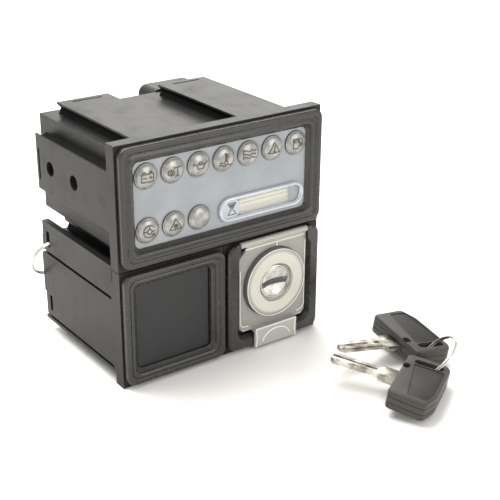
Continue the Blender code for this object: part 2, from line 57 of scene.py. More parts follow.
world = bpy.data.worlds.new("white_walls")
world.use_nodes = True
world.node_tree.nodes["Background"].inputs["Color"].default_value = (1.0, 0.99, 0.97, 1.0)
world.node_tree.nodes["Background"].inputs["Strength"].default_value = 0.78
bpy.context.scene.world = world


def softbox(name, place, aim, width, height, watts, tint=(1.0, 0.985, 0.95)):
    light = bpy.data.lights.new(name, "AREA")
    light.shape = "RECTANGLE"
    light.size = width
    light.size_y = height
    light.energy = watts
    light.color = tint
    lamp = bpy.data.objects.new(name, light)
    lamp.location = place
    lamp.rotation_euler = (Vector(aim) - Vector(place)).to_track_quat("-Z", "Y").to_euler()
    bpy.context.scene.collection.objects.link(lamp)


softbox("overhead", (-0.10, 0.35, 0.85), (0.0, 0.0, 0.05), 0.9, 0.7, 14.0)
softbox("left_side", (-0.95, -0.25, 0.45), (0.0, 0.0, 0.05), 0.5, 0.6, 1.3)
softbox("front", (0.35, -0.95, 0.40), (0.0, 0.0, 0.05), 0.6, 0.5, 3.8)
softbox("rear_right", (0.75, 0.95, 0.62), (0.0, 0.0, 0.14), 0.7, 0.5, 4.2)

# Table: a flat white board with a matt face, so wide that its edge is out of sight.
# The panel and its keys stand on it. It belongs to the studio and not to the object.
TABLE_HALF, TABLE_DROP = 4.0, 0.0002


class Value:
    """A shader socket that takes part in sums as a number does."""

    def __init__(self, graph, socket):
        self.graph = graph
        self.socket = socket

    def maths(self, operation, first, second):
        return self.graph.add("ShaderNodeMath", {"operation": operation}, {0: first, 1: second})

    def __add__(self, other):
        return self.maths("ADD", self, other)

    def __radd__(self, other):
        return self.maths("ADD", other, self)

    def __mul__(self, other):
        return self.maths("MULTIPLY", self, other)

    def __rmul__(self, other):
        return self.maths("MULTIPLY", other, self)


class Finish:
    """A material's nodes. add() makes any but the Principled one, which set() and drive() fill."""

    def __init__(self, name, colour, roughness, **constants):
        self.material = bpy.data.materials.new(name)
        self.material.use_nodes = True
        self.tree = self.material.node_tree
        self.shader = self.tree.nodes["Principled BSDF"]
        self.set("Base Color", (*colour, 1.0))
        self.set("Roughness", roughness)
        for socket, value in constants.items():
            self.set(socket.replace("_", " ").title().replace("Ior", "IOR"), value)

    def set(self, socket, value):
        self.shader.inputs[socket].default_value = value

    def drive(self, socket, value):
        self.tree.links.new(value.socket, self.shader.inputs[socket])

    def add(self, kind, settings=None, sockets=None, output=0):
        node = self.tree.nodes.new(kind)
        for key, value in (settings or {}).items():
            if key == "stops":
                ramp = node.color_ramp.elements
                while len(ramp) < len(value):
                    ramp.new(0.5)
                for element, (position, colour) in zip(ramp, value):
                    element.position = position
                    element.color = (*colour, 1.0)
            else:
                setattr(node, key, value)
        for key, value in (sockets or {}).items():
            if isinstance(value, Value):
                self.tree.links.new(value.socket, node.inputs[key])
            else:
                node.inputs[key].default_value = value
        return Value(self, node.outputs[output])

    def place(self, scale=(1.0, 1.0, 1.0), turn=(0.0, 0.0, 0.0), centre=(0.0, 0.0, 0.0)):
        """Object coordinates, moved to a centre, turned and stretched."""
        coordinates = self.add("ShaderNodeTexCoord", output="Object")
        moved = self.add("ShaderNodeVectorMath", {"operation": "SUBTRACT"}, {0: coordinates, 1: centre})
        sockets = {"Vector": moved, "Rotation": turn, "Scale": scale}
        return self.add("ShaderNodeMapping", {}, sockets)

    def noise(self, where, scale, detail=2.0, roughness=0.5):
        sockets = {"Vector": where, "Scale": scale, "Detail": detail, "Roughness": roughness}
        return self.add("ShaderNodeTexNoise", {}, sockets, "Fac")

    def between(self, value, low, high, out_low, out_high):
        """A smooth step from out_low to out_high as the value goes from low to high."""
        sockets = {"Value": value, "From Min": low, "From Max": high}
        sockets.update({"To Min": out_low, "To Max": out_high})
        return self.add("ShaderNodeMapRange", {"interpolation_type": "SMOOTHSTEP"}, sockets)

    def blend(self, factor, first, second):
        """A colour mix. Each colour is three numbers or another colour value."""
        sockets = {0: factor}
        for key, colour in ((6, first), (7, second)):
            sockets[key] = colour if isinstance(colour, Value) else (*colour, 1.0)
        return self.add("ShaderNodeMix", {"data_type": "RGBA"}, sockets, 2)

    def mottle(self, cloud, first, second, low=0.35, high=0.65):
        """Colours the surface from the first colour to the second as the cloud rises from low to high."""
        self.drive("Base Color", self.blend(self.between(cloud, low, high, 0.0, 1.0), first, second))

    def bump(self, height, strength, distance):
        sockets = {"Height": height, "Strength": strength, "Distance": distance}
        self.drive("Normal", self.add("ShaderNodeBump", {}, sockets))


floor_bm = bmesh.new()
bmesh.ops.create_grid(floor_bm, x_segments=1, y_segments=1, size=TABLE_HALF)
floor_mesh = bpy.data.meshes.new("table")
floor_bm.to_mesh(floor_mesh)
floor_bm.free()
floor = bpy.data.objects.new("table", floor_mesh)
floor.location.z = -TABLE_DROP
bpy.context.scene.collection.objects.link(floor)
floor_mesh.materials.append(Finish("table_white", (0.93, 0.92, 0.905), 0.7).material)

# Housings, strips, hood and covers: black glass-filled nylon, injection moulded in spark-eroded tools.
# The texture is a fine even grain with faint flow marks from front to rear, and every edge is rounded.
WELD = 2e-6
FLAT_ANGLE, EDGE_ANGLE = radians(0.6), radians(32)
GROOVE_SLOPE, GROOVE_AREA = 0.93, 0.00002


def moulded(name, colour, roughness, grain=0.00003, lift=(0.012, 0.011, 0.009), sheen=0.32):
    """Nylon with a grain this deep, flow marks that lift the colour, and this specular level."""
    finish = Finish(name, colour, roughness, specular_ior_level=sheen)
    where = finish.place()
    long_way = finish.place(scale=(1.0, 0.12, 1.0))
    fine = finish.noise(where, 5200.0, 2.0)
    cloud = finish.noise(where, 38.0, 4.0, 0.6)
    flow = finish.noise(long_way, 240.0, 3.0, 0.6)
    handled = finish.between(finish.noise(where, 95.0, 5.0, 0.65), 0.45, 0.75, 0.0, 1.0)
    lighter = tuple(part + extra for part, extra in zip(colour, lift))
    finish.mottle(cloud * 0.6 + flow * 0.4, colour, lighter)
    finish.drive("Roughness", roughness - 0.07 + 0.1 * flow + 0.07 * handled)
    finish.bump(fine + 0.5 * flow, 0.55, grain)
    return finish.material


def piece_of(name, bm, material, body, angle=35.0):
    """Makes a finished piece of this mesh, riding on a body."""
    mesh = bpy.data.meshes.new(name)
    bm.to_mesh(mesh)
    bm.free()
    mesh.shade_smooth()
    mesh.set_sharp_from_angle(angle=radians(angle))
    piece = bpy.data.objects.new(name, mesh)
    bpy.context.scene.collection.objects.link(piece)
    mesh.materials.append(material)
    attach(piece, body)
    return piece


def softened(node, width, material, body, segments=2):
    """The CAD shape of a node with whole flat faces and rounded edges, in place of the node."""
    bm = bmesh.new()
    bm.from_mesh(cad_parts[node].data)
    bmesh.ops.remove_doubles(bm, verts=bm.verts, dist=WELD)
    bmesh.ops.dissolve_limit(bm, angle_limit=FLAT_ANGLE, verts=bm.verts, edges=bm.edges)
    piece = piece_of(node + "_moulded", bm, material, body, angle=30.0)
    rounding = piece.modifiers.new("edges", "BEVEL")
    rounding.width = width
    rounding.segments = segments
    rounding.limit_method = "ANGLE"
    rounding.angle_limit = EDGE_ANGLE
    rounding.use_clamp_overlap = True
    flats = piece.modifiers.new("flats", "WEIGHTED_NORMAL")
    flats.keep_sharp = True
    flats.weight = 80
    facets = piece.modifiers.new("facets", "TRIANGULATE")
    facets.keep_custom_normals = True
    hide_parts(node)
    return piece


HOUSING = moulded(
    "housing_nylon", (0.014, 0.0138, 0.013), 0.42, lift=(0.007, 0.0068, 0.006), sheen=0.2
)
# The sloping faces of the grooves are darker, to stand in for the deep shadow that lies in them.
GROOVE = moulded(
    "groove_shadow_nylon", (0.0035, 0.0034, 0.0033), 0.6, lift=(0.002, 0.002, 0.002), sheen=0.05
)
for node in ("top_housing", "blank_housing", "switch_housing"):
    housing = softened(node, 0.00028, HOUSING, "panel")
    housing.data.materials.append(GROOVE)
    for face in housing.data.polygons:
        if max(abs(part) for part in face.normal) < GROOVE_SLOPE and face.area > GROOVE_AREA:
            face.material_index = 1
REAR_PIECES = ("connector_hood", "contact_block", "switch_rear_cover", "rear_connector", "switch_plate")
for node in REAR_PIECES:
    softened(node, 0.00025, HOUSING, "panel")
for node in ("joining_strip_bottom", "joining_strip_middle"):
    softened(node, 0.0002, HOUSING, "panel")

# Bezels: a snap-on frame for each module, moulded in glossier black than the housings.
# The section has a rounded shoulder, a flat land, a step, and a rounded bead that falls to the plate.
FLANGE_FRONT = -0.038
BEZEL_BANDS = {"top_bezel": 0.0073, "blank_bezel": 0.0061}
OUTER_CORNER, CORNER_LOSS = 0.0040, 0.0012
ROUND_STEPS = 10
FINE_WELD = 1e-6
BEZEL_FINISH = moulded(
    "bezel_satin_black",
    (0.030, 0.0290, 0.0262),
    0.29,
    0.0000015,
    lift=(0.006, 0.0055, 0.0045),
    sheen=0.45,
)


def centre_of(node):
    """(x, z) of the middle of a CAD piece's box."""
    low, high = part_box(node)
    return ((low.x + high.x) / 2, (low.z + high.z) / 2)


def rounded(width, height, radius, steps=ROUND_STEPS):
    """(x, z) points round a rectangle with round corners, about its centre."""
    points = []
    for turn, (sx, sz) in enumerate(((1, 1), (-1, 1), (-1, -1), (1, -1))):
        for step in range(steps + 1):
            angle = (turn + step / steps) * pi / 2
            x = sx * (width / 2 - radius) + radius * cos(angle)
            z = sz * (height / 2 - radius) + radius * sin(angle)
            points.append((x, z))
    return points


def arc(centre, radius, start, end, steps):
    """(inset, depth) points of an arc between two angles in degrees."""
    turns = [radians(start + (end - start) * step / steps) for step in range(steps + 1)]
    return [(centre[0] + radius * cos(turn), centre[1] + radius * sin(turn)) for turn in turns]


def bezel_section(band):
    """(inset, depth) points from the outer edge's back, round the front, to the opening's back."""
    section = [(0.0, -0.0003), (0.0, -0.0020)]
    section += arc((0.0009, -0.0021), 0.0009, 180, 270, 5)
    section += [(0.0021, -0.0030)]
    section += arc((0.0021, -0.0027), 0.0003, 270, 340, 2)
    section += [(0.0027, -0.0023), (0.0033, -0.0022)]
    section += arc((band - 0.0026, -0.0015), 0.0013, 235, 350, 8)
    section += [(band - 0.0007, -0.0009), (band, -0.0003)]
    return section


def swept_ring(section, outline):
    """A closed ring: the outline's (x, z) points at each (inset, depth) of the section, joined."""
    bm = bmesh.new()
    inset, depth = section[0]
    first = [bm.verts.new((x, FLANGE_FRONT + depth, z)) for x, z in outline(inset)]
    edges = [bm.edges.new(pair) for pair in zip(first, [*first[1:], first[0]])]
    ring = first
    for inset, depth in (*section[1:], section[0]):
        grown = bmesh.ops.extrude_edge_only(bm, edges=edges)
        before = {vert: index for index, vert in enumerate(ring)}
        ring = [None] * len(before)
        edges = [item for item in grown["geom"] if isinstance(item, bmesh.types.BMEdge)]
        for vert in (item for item in grown["geom"] if isinstance(item, bmesh.types.BMVert)):
            for edge in vert.link_edges:
                if edge.other_vert(vert) in before:
                    ring[before[edge.other_vert(vert)]] = vert
        for vert, (x, z) in zip(ring, outline(inset)):
            vert.co = (x, FLANGE_FRONT + depth, z)
    bmesh.ops.remove_doubles(bm, verts=bm.verts, dist=FINE_WELD)
    bmesh.ops.recalc_face_normals(bm, faces=bm.faces)
    return bm


def bezel(node):
    """The frame of one module, as wide and as high as its CAD piece."""
    low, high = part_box(node)
    width, height = high.x - low.x, high.z - low.z
    centre = centre_of(node)
    band = BEZEL_BANDS[node]

    def outline(inset):
        radius = OUTER_CORNER - CORNER_LOSS * inset / band
        points = rounded(width - 2 * inset, height - 2 * inset, radius)
        return [(centre[0] + x, centre[1] + z) for x, z in points]

    return swept_ring(bezel_section(band), outline)


for node in BEZEL_BANDS:
    frame_piece = piece_of(node + "_frame", bezel(node), BEZEL_FINISH, "panel", angle=50)
    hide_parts(node)
softened("switch_bezel", 0.0004, BEZEL_FINISH, "panel", 3)

# Face plate: a thin moulding that closes the front of the top module inside its bezel.
# A pale blue-grey printed film is stuck to it, a little uneven where it doesn't lie quite flat.
film = Finish("printed_film", (0.27, 0.295, 0.32), 0.42, coat_weight=0.25, coat_roughness=0.25)
film_where = film.place()
film_mottle = film.noise(film_where, 55.0, 3.0)
film_grain = film.noise(film_where, 3800.0, 1.0)
film.mottle(film_mottle, (0.255, 0.276, 0.30), (0.30, 0.32, 0.34))
film.drive("Roughness", 0.36 + 0.12 * film_mottle)
film.bump(film_grain + 2.0 * film_mottle, 0.3, 0.00003)
softened("face_plate", 0.0001, film.material, "panel")

# Warning lamps: smoked, mirror-backed domes with a lip, pressed into the plate from the front.
# Each but the last has a small moulded pictogram, raised a tenth of a millimetre and filled with dark ink.
LENS_RADIUS = 0.0054
DOME_HEIGHT, LIP_HEIGHT = 0.0023, 0.0007
LAMP_BODY_RADIUS, LAMP_BODY_REAR = 0.0049, 0.0048
PICTOGRAM_UNIT, INK_LIFT, STROKE_RADIUS = 0.00115, 0.00002, 0.00028
lens = Finish(
    "smoked_lens", (0.36, 0.35, 0.325), 0.3, metallic=0.35, coat_weight=0.6, coat_roughness=0.2
)
lens_cloud = lens.noise(lens.place(), 420.0, 2.0)
lens.mottle(lens_cloud, (0.25, 0.247, 0.235), (0.36, 0.355, 0.34))
lens.drive("Roughness", 0.26 + 0.14 * lens_cloud)
lens.bump(lens_cloud, 0.25, 0.0001)
ink = Finish("pictogram_ink", (0.06, 0.052, 0.042), 0.4, coat_weight=0.3, coat_roughness=0.2)
ink_wear = ink.noise(ink.place(), 1600.0, 3.0)
ink.mottle(ink_wear, (0.06, 0.054, 0.045), (0.16, 0.15, 0.13), 0.4, 0.7)
ink.drive("Roughness", 0.3 + 0.3 * ink_wear)
bulb = Finish("bulb_glass", (0.93, 0.93, 0.9), 0.05, transmission_weight=0.85, ior=1.45, coat_weight=0.5)
bulb_smoke = bulb.noise(bulb.place(), 900.0, 2.0)
bulb.drive("Roughness", 0.03 + 0.1 * bulb_smoke)


def dome_depth(radius):
    """How far in front of the plate the lens surface stands, at this distance from its middle."""
    share = max(0.0, 1 - (radius / (LENS_RADIUS - 0.0004)) ** 2)
    return LIP_HEIGHT + (DOME_HEIGHT - LIP_HEIGHT) * share**0.75


def refinish(node, material):
    """Gives a finish to a CAD piece that is shown with its own mesh."""
    node_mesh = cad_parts[node].data
    node_mesh.materials.clear()
    node_mesh.materials.append(material)


def turned(profile, centre, segments):
    """Turns (radius, depth) points about the line along Y through centre, an (x, z) pair."""
    bm = bmesh.new()
    x, z = centre
    verts = [bm.verts.new((x + radius, FLANGE_FRONT + depth, z)) for radius, depth in profile]
    edges = [bm.edges.new(pair) for pair in zip(verts, verts[1:])]
    bmesh.ops.spin(
        bm,
        geom=verts + edges,
        cent=(x, FLANGE_FRONT, z),
        axis=(0, 1, 0),
        angle=tau,
        steps=segments,
        use_merge=True,
    )
    bmesh.ops.remove_doubles(bm, verts=bm.verts, dist=WELD)
    bmesh.ops.recalc_face_normals(bm, faces=bm.faces)
    return bm


def lens_profile():
    """(radius, depth) points from the dome's middle over the lip to the middle of the back."""
    edge = LENS_RADIUS - 0.0006
    rise = [edge - edge * step / 12 for step in range(13)]
    dome = [(radius, -dome_depth(radius)) for radius in reversed(rise)]
    lip = [(LENS_RADIUS - 0.0005, -LIP_HEIGHT), (LENS_RADIUS - 0.0003, -0.0009)]
    lip += [(LENS_RADIUS, -LIP_HEIGHT), (LENS_RADIUS, -0.0003)]
    stem = [(LAMP_BODY_RADIUS, -0.0003), (LAMP_BODY_RADIUS, LAMP_BODY_REAR), (0.0, LAMP_BODY_REAR)]
    return [*dome, *lip, *stem]


def wire_lines(name, lines, radius, material, body, resolution=2):
    """Round strokes through 3-D points. A line is (points, closed)."""
    curve = bpy.data.curves.new(name, "CURVE")
    curve.dimensions = "3D"
    curve.bevel_depth = radius
    curve.bevel_resolution = resolution
    curve.use_fill_caps = True
    for points, closed in lines:
        spline = curve.splines.new("POLY")
        spline.points.add(len(points) - 1)
        for point, place in zip(spline.points, points):
            point.co = (*place, 1.0)
        spline.use_cyclic_u = closed
    stroke = bpy.data.objects.new(name, curve)
    bpy.context.scene.collection.objects.link(stroke)
    curve.materials.append(material)
    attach(stroke, body)
    return stroke


def ellipse(cx, cz, rx, rz, start=0.0, end=360.0, steps=18):
    """(x, z) points of an ellipse, or of its part between two angles in degrees."""
    turns = [radians(start + (end - start) * step / steps) for step in range(steps + 1)]
    return [(cx + rx * cos(turn), cz + rz * sin(turn)) for turn in turns]


def wave(z, left, right, height):
    """(x, z) points of two ripples."""
    shares = [step / 16 for step in range(17)]
    return [(left + (right - left) * share, z + height * sin(share * 2 * tau)) for share in shares]


# Strokes in PICTOGRAM_UNITs from the middle of the lens, X to the right and Z up. The last lamp is blank.
PICTOGRAMS = (
    # battery
    (
        [(-2.4, -1.7), (2.4, -1.7), (2.4, 1.2), (-2.4, 1.2), (-2.4, -1.7)],
        [(-1.7, 1.3), (-1.7, 1.9), (-0.9, 1.9), (-0.9, 1.3)],
        [(0.9, 1.3), (0.9, 1.9), (1.7, 1.9), (1.7, 1.3)],
        [(-1.8, -0.2), (-0.6, -0.2)],
        [(0.6, -0.2), (1.8, -0.2)],
        [(1.2, 0.4), (1.2, -0.8)],
    ),
    # glow coil and switch
    (
        ellipse(-1.4, -0.4, 1.2, 1.0),
        ellipse(-1.4, -0.4, 0.5, 0.4),
        [(-0.4, 1.3), (2.8, 1.3)],
        [(1.2, 1.3), (1.2, -1.8)],
        [(0.5, -1.8), (1.9, -1.8)],
    ),
    # oil can
    (
        [(-1.6, 0.4), (-1.2, -1.2), (1.2, -1.2), (1.5, 0.4), (-1.6, 0.4)],
        [(-0.7, 0.5), (-0.7, 1.2), (0.6, 1.2), (0.6, 0.5)],
        [(1.5, 0.1), (3.0, 1.1)],
        [(-1.6, 0.2), (-2.8, 0.9), (-2.9, 0.0)],
    ),
    # thermometer in liquid
    (
        ellipse(0.0, -1.1, 0.7, 0.7),
        [(-0.3, -0.5), (-0.3, 2.3), (0.3, 2.3), (0.3, -0.5)],
        [(0.4, 1.7), (1.3, 1.7)],
        [(0.4, 0.8), (1.3, 0.8)],
        wave(-2.1, -2.7, 2.7, 0.3),
        [(-2.6, -1.0), (-1.2, -1.0)],
    ),
    # liquid level
    (
        wave(1.3, -2.6, 2.6, 0.3),
        wave(0.0, -2.6, 2.6, 0.3),
        wave(-1.3, -2.6, 2.6, 0.3),
        [(-2.9, 1.9), (-2.9, -1.9)],
    ),
    # warning triangle with a bar
    (
        [(0.0, 2.4), (2.5, -1.6), (-2.5, -1.6), (0.0, 2.4)],
        [(0.0, 1.1), (0.0, -0.3)],
        ellipse(0.0, -0.95, 0.25, 0.25, steps=8),
    ),
    # fuel pump
    (
        [(-1.9, -2.0), (-1.9, 1.8), (0.7, 1.8), (0.7, -2.0), (-1.9, -2.0)],
        [(-1.4, 0.5), (0.2, 0.5), (0.2, 1.3), (-1.4, 1.3), (-1.4, 0.5)],
        [(0.7, 0.2), (1.5, 0.2), (1.5, -1.2), (2.2, -1.2), (2.2, 1.1), (1.4, 1.9)],
    ),
    # engine speed: a wheel with an arrow
    (
        ellipse(0.0, 0.0, 2.3, 2.3, 40.0, 330.0),
        [(1.2, -1.1), (2.1, -1.2), (2.2, -2.1)],
        ellipse(0.0, 0.0, 0.9, 0.9),
        [(0.9, 0.0), (2.2, 0.0)],
        [(-0.9, 0.0), (-2.2, 0.0)],
        [(0.0, 0.9), (0.0, 2.2)],
    ),
    # warning triangle with a disc
    (
        [(0.0, 2.4), (2.5, -1.7), (-2.5, -1.7), (0.0, 2.4)],
        ellipse(0.0, -0.35, 0.75, 0.75),
        ellipse(0.0, -0.35, 0.3, 0.3, steps=8),
    ),
    (),
)


def along(points, spacing):
    """More points on the straight runs, so that a stroke can follow the dome."""
    fine = [points[0]]
    for (x0, z0), (x1, z1) in zip(points, points[1:]):
        count = max(1, int(sqrt((x1 - x0) ** 2 + (z1 - z0) ** 2) / spacing))
        steps = range(1, count + 1)
        fine += [(x0 + (x1 - x0) * step / count, z0 + (z1 - z0) * step / count) for step in steps]
    return fine


# Thin black rings round each lens lip, gathered here, are painted shade for the shadow in the groove round
# the lip.
lens_groove_shades = []
for number, pictogram in enumerate(PICTOGRAMS, 1):
    middle = centre_of(f"lamp_lens_{number}")
    dome_bm = turned(lens_profile(), middle, 40)
    dome = piece_of(f"lamp_dome_{number}", dome_bm, lens.material, "panel")
    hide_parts(f"lamp_lens_{number}")
    circle = ellipse(*middle, LENS_RADIUS, LENS_RADIUS, steps=48)[:-1]
    lens_groove_shades.append(([(x, FLANGE_FRONT - 0.00035, z) for x, z in circle], True))
    lines = []
    for stroke in pictogram:
        shape = []
        for x, z in along(stroke, 0.35):
            x, z = x * PICTOGRAM_UNIT, z * PICTOGRAM_UNIT
            depth = dome_depth(sqrt(x * x + z * z)) + INK_LIFT
            shape.append((middle[0] + x, FLANGE_FRONT - depth, middle[1] + z))
        lines.append((shape, False))
    if lines:
        wire_lines(f"pictogram_{number}", lines, STROKE_RADIUS, ink.material, "panel")
    refinish(f"lamp_bulb_{number}", bulb.material)

# The thin dark rings round the lens lips are painted shade, for the shadow in the groove there.
lens_groove_shade = Finish("lamp_groove_painted_shade", (0.05, 0.05, 0.048), 0.55)
lens_groove_shade.drive("Roughness", 0.45 + 0.2 * lens_groove_shade.noise(lens_groove_shade.place(), 900.0))
wire_lines("lamp_groove_shade_rings", lens_groove_shades, 0.0002, lens_groove_shade.material, "panel")

# Hour counter: a glossy bright rim on the film, with a clear pane over a blank cream number drum.
# A small printed card with an hourglass fills the rim's left end.
MARK_RADIUS, MARK_LIFT = 0.0002, 0.00055
rim = Finish(
    "counter_rim_gloss",
    (0.52, 0.56, 0.61),
    0.16,
    metallic=0.25,
    coat_weight=1.0,
    coat_roughness=0.05,
)
rim_cloud = rim.noise(rim.place(), 300.0, 2.0)
rim.drive("Base Color", rim.blend(rim_cloud, (0.42, 0.46, 0.51), (0.54, 0.58, 0.63)))
rim.drive("Roughness", 0.1 + 0.12 * rim_cloud)
low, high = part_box("counter_rim")
rim_centre = centre_of("counter_rim")
rim_size = (high.x - low.x, high.z - low.z)


def rim_outline(inset):
    width, height = (size - 2 * inset for size in rim_size)
    points = rounded(width, height, rim_size[1] / 2 - inset - 0.0002)
    return [(rim_centre[0] + x, rim_centre[1] + z) for x, z in points]


rim_section = [(0.0, -0.0003), (0.0, -0.0009)]
rim_section += [*arc((0.0009, -0.0009), 0.0008, 180, 300, 6), (0.0019, -0.0003)]
rim_bm = swept_ring(rim_section, rim_outline)
rim_bead = piece_of("counter_rim_bead", rim_bm, rim.material, "panel", angle=60)
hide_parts("counter_rim")

low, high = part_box("counter_window")
inner_left = rim_centre[0] - rim_size[0] / 2 + 0.0021
card_bm = bmesh.new()
card = bmesh.ops.create_cube(card_bm, size=1.0)
card_size = (low.x - 0.0002 - inner_left, 0.00045, high.z - low.z - 0.0004)
card_centre = (inner_left + card_size[0] / 2, FLANGE_FRONT - 0.00030, rim_centre[1])
card_place = Matrix.Translation(card_centre) @ Matrix.Diagonal((*card_size, 1))
bmesh.ops.transform(card_bm, matrix=card_place, verts=card["verts"])
upright = [edge for edge in card_bm.edges if abs(edge.verts[0].co.y - edge.verts[1].co.y) > 0.0001]
bmesh.ops.bevel(
    card_bm, geom=upright, offset=0.0026, segments=6, profile=0.5, affect="EDGES", material=-1
)
card_finish = Finish(
    "counter_card", (0.62, 0.67, 0.72), 0.3, coat_weight=0.6, coat_roughness=0.1
)
card_cloud = card_finish.noise(card_finish.place(), 260.0, 2.0)
card_finish.drive("Base Color", card_finish.blend(card_cloud, (0.36, 0.40, 0.44), (0.46, 0.50, 0.54)))
piece_of("hourglass_card", card_bm, card_finish.material, "panel", angle=60)
mark = (card_centre[0] + 0.0004, card_centre[2])
glass_half = (0.0018, 0.0026)
glass_side = [(1.0, 1.0), (0.95, 0.7), (0.2, 0.05), (0.2, -0.05), (0.95, -0.7), (1.0, -1.0)]
hourglass = [[(side * x, z) for x, z in glass_side] for side in (-1, 1)]
hourglass += [[(-1.25, 1.0), (1.25, 1.0)], [(-1.25, -1.0), (1.25, -1.0)]]
for row in range(4):
    half, height = 0.75 - 0.2 * row, 0.75 - 0.16 * row
    hourglass.append([(-half, height), (half, height)])
lines = []
for stroke in hourglass:
    flat = [(mark[0] + x * glass_half[0], mark[1] + z * glass_half[1]) for x, z in stroke]
    lines.append(([(x, FLANGE_FRONT - MARK_LIFT, z) for x, z in flat], False))
wire_lines("hourglass_mark", lines, MARK_RADIUS, ink.material, "panel")

pane = Finish("counter_pane", (0.95, 0.96, 0.96), 0.04, alpha=0.18, specular_ior_level=0.6)
pane_smear = pane.noise(pane.place(scale=(0.3, 1.0, 1.0)), 420.0, 3.0)
pane.drive("Roughness", 0.03 + 0.08 * pane_smear)
softened("counter_window", 0.0001, pane.material, "panel")
drum = Finish("counter_drum", (0.74, 0.69, 0.54), 0.45)
drum_place = drum.place(centre=(0.0, 0.0, rim_centre[1]))
drum_height = drum.add("ShaderNodeSeparateXYZ", {}, {0: drum_place}, 2)
# The drum's colour rises and falls in warm-tinted bands from bottom to top. These bands are painted light
# and shade across the drum's curve.
drum_light_and_shade_bands = drum.add(
    "ShaderNodeValToRGB",
    {
        "stops": (
            (0.0, (0.50, 0.47, 0.37)),
            (0.24, (0.44, 0.39, 0.25)),
            (0.40, (0.66, 0.63, 0.53)),
            (0.62, (0.30, 0.25, 0.14)),
            (0.72, (0.72, 0.70, 0.62)),
            (0.86, (0.25, 0.21, 0.13)),
            (1.0, (0.50, 0.49, 0.43)),
        )
    },
    {0: drum.between(drum_height, -0.0041, 0.0041, 0.0, 1.0)},
)
drum_grain = drum.noise(drum.place(scale=(0.2, 1.0, 1.0)), 1500.0, 2.0)
drum.drive("Base Color", drum.blend(0.25 * drum_grain, drum_light_and_shade_bands, (0.70, 0.68, 0.60)))
softened("counter_display", 0.0002, drum.material, "panel")

# Inside the top module: a white moulded lamp carrier, which holds the bulbs behind their lenses.
# A green circuit board stands behind it, of glass cloth and resin, with tracks under its solder mask.
carrier = Finish("carrier_white", (0.80, 0.79, 0.76), 0.5)
carrier_grain = carrier.noise(carrier.place(), 2400.0, 2.0)
carrier.drive("Roughness", 0.42 + 0.16 * carrier_grain)
carrier.bump(carrier_grain, 0.4, 0.00003)
softened("lamp_carrier", 0.0002, carrier.material, "panel")
board = Finish("solder_mask", (0.03, 0.17, 0.07), 0.3, coat_weight=0.5, coat_roughness=0.15)
tracks = board.add(
    "ShaderNodeTexBrick",
    {},
    {"Vector": board.place(turn=(pi / 2, 0, 0)), "Scale": 240.0, "Mortar Size": 0.06},
    "Fac",
)
board.drive("Base Color", board.blend(tracks, (0.025, 0.15, 0.06), (0.09, 0.28, 0.12)))
board.bump(tracks, 0.3, 0.00004)
refinish("circuit_board", board.material)

# Blank module's panel: a black plastic plate that closes the unused bay, set deep inside its bezel.
# Its face has a close woven texture from the tool.
blank = Finish("blank_panel_black", (0.012, 0.012, 0.013), 0.5)
blank_where = blank.place()
weave_sockets = {"Vector": blank_where, "Scale": 420.0, "Distortion": 0.4}
weave_x, weave_z = (
    blank.add("ShaderNodeTexWave", {"bands_direction": direction}, weave_sockets, "Fac")
    for direction in "XZ"
)
blank_cloud = blank.noise(blank_where, 120.0, 4.0)
blank.drive("Base Color", blank.blend(weave_x * weave_z, (0.010, 0.010, 0.011), (0.030, 0.030, 0.031)))
blank.drive("Roughness", 0.42 + 0.2 * blank_cloud)
blank.bump(weave_x + weave_z, 0.5, 0.00005)
softened("blank_panel", 0.0002, blank.material, "panel")

# Split rings: nearly two turns of polished spring wire side by side, with squared-off ends.
# A small one is hooked through a slot of the blank housing, and the other carries both keys.
RING_TURNS, RING_STEPS = 1.94, 130
CROSSING_START, CROSSING_SHARE = 0.44, 0.12
wire = Finish("ring_wire", (0.60, 0.59, 0.56), 0.22, metallic=1.0)
wire_where = wire.place()
wire_scratch = wire.noise(wire_where, 1800.0, 4.0, 0.7)
wire_cloud = wire.noise(wire_where, 260.0)
wire.drive("Roughness", 0.14 + 0.2 * wire_scratch)
wire.drive("Base Color", wire.blend(wire_cloud, (0.50, 0.49, 0.46), (0.70, 0.69, 0.66)))


def split_ring(name, node, centre, normal, radius, wire_radius, body):
    """A ring whose second turn lies beside the first. The wire crosses over along a short share."""
    tilt = Vector((0, 0, 1)).rotation_difference(Vector(normal)).to_matrix()
    points = []
    for step in range(RING_STEPS + 1):
        share = step / RING_STEPS
        angle = share * RING_TURNS * tau
        ramp = min(1.0, max(0.0, (share - CROSSING_START) / CROSSING_SHARE))
        side = wire_radius * (2 * ramp * ramp * (3 - 2 * ramp) - 1)
        along_wire = Vector((radius * cos(angle), radius * sin(angle), side))
        points.append(Vector(centre) + tilt @ along_wire)
    ring = wire_lines(name, [(points, False)], wire_radius, wire.material, body, 3)
    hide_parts(node)


HANGING_CENTRE, HANGING_NORMAL = (-0.0485, 0.0305, 0.0360), (0, 0.9078, 0.4195)
KEY_RING_CENTRE, KEY_RING_NORMAL = (0.0640, -0.1060, 0.0089), (-0.53, 0.455, 0.717)
split_ring(
    "hanging_split_ring", "wire_ring", HANGING_CENTRE, HANGING_NORMAL, 0.0100, 0.00045, "hanging_ring"
)
split_ring(
    "key_split_ring", "key_ring", KEY_RING_CENTRE, KEY_RING_NORMAL, 0.0116, 0.00042, "key_ring"
)

# Lock: a turned and nickel-plated barrel and plug, with two dished shutters that leave a wide keyway.
# A milky white escutcheon and a rubber gasket sit round it, and a brass nut holds it. The brass blade
# terminals of the contact block behind it are made here too.
LOCK = centre_of("lock_plug")
PLUG_R, PLUG_STEP, PLUG_FRONT, PLUG_REAR = 0.0080, 0.0061, -0.0029, 0.0330
TAIL_R, TAIL_REAR = 0.0030, 0.0380
SHUTTER_R, SHUTTER_REAR, KEYWAY_REACH = 0.0070, -0.0010, 0.0014
KEYWAY_Z = LOCK[1] - 0.0004


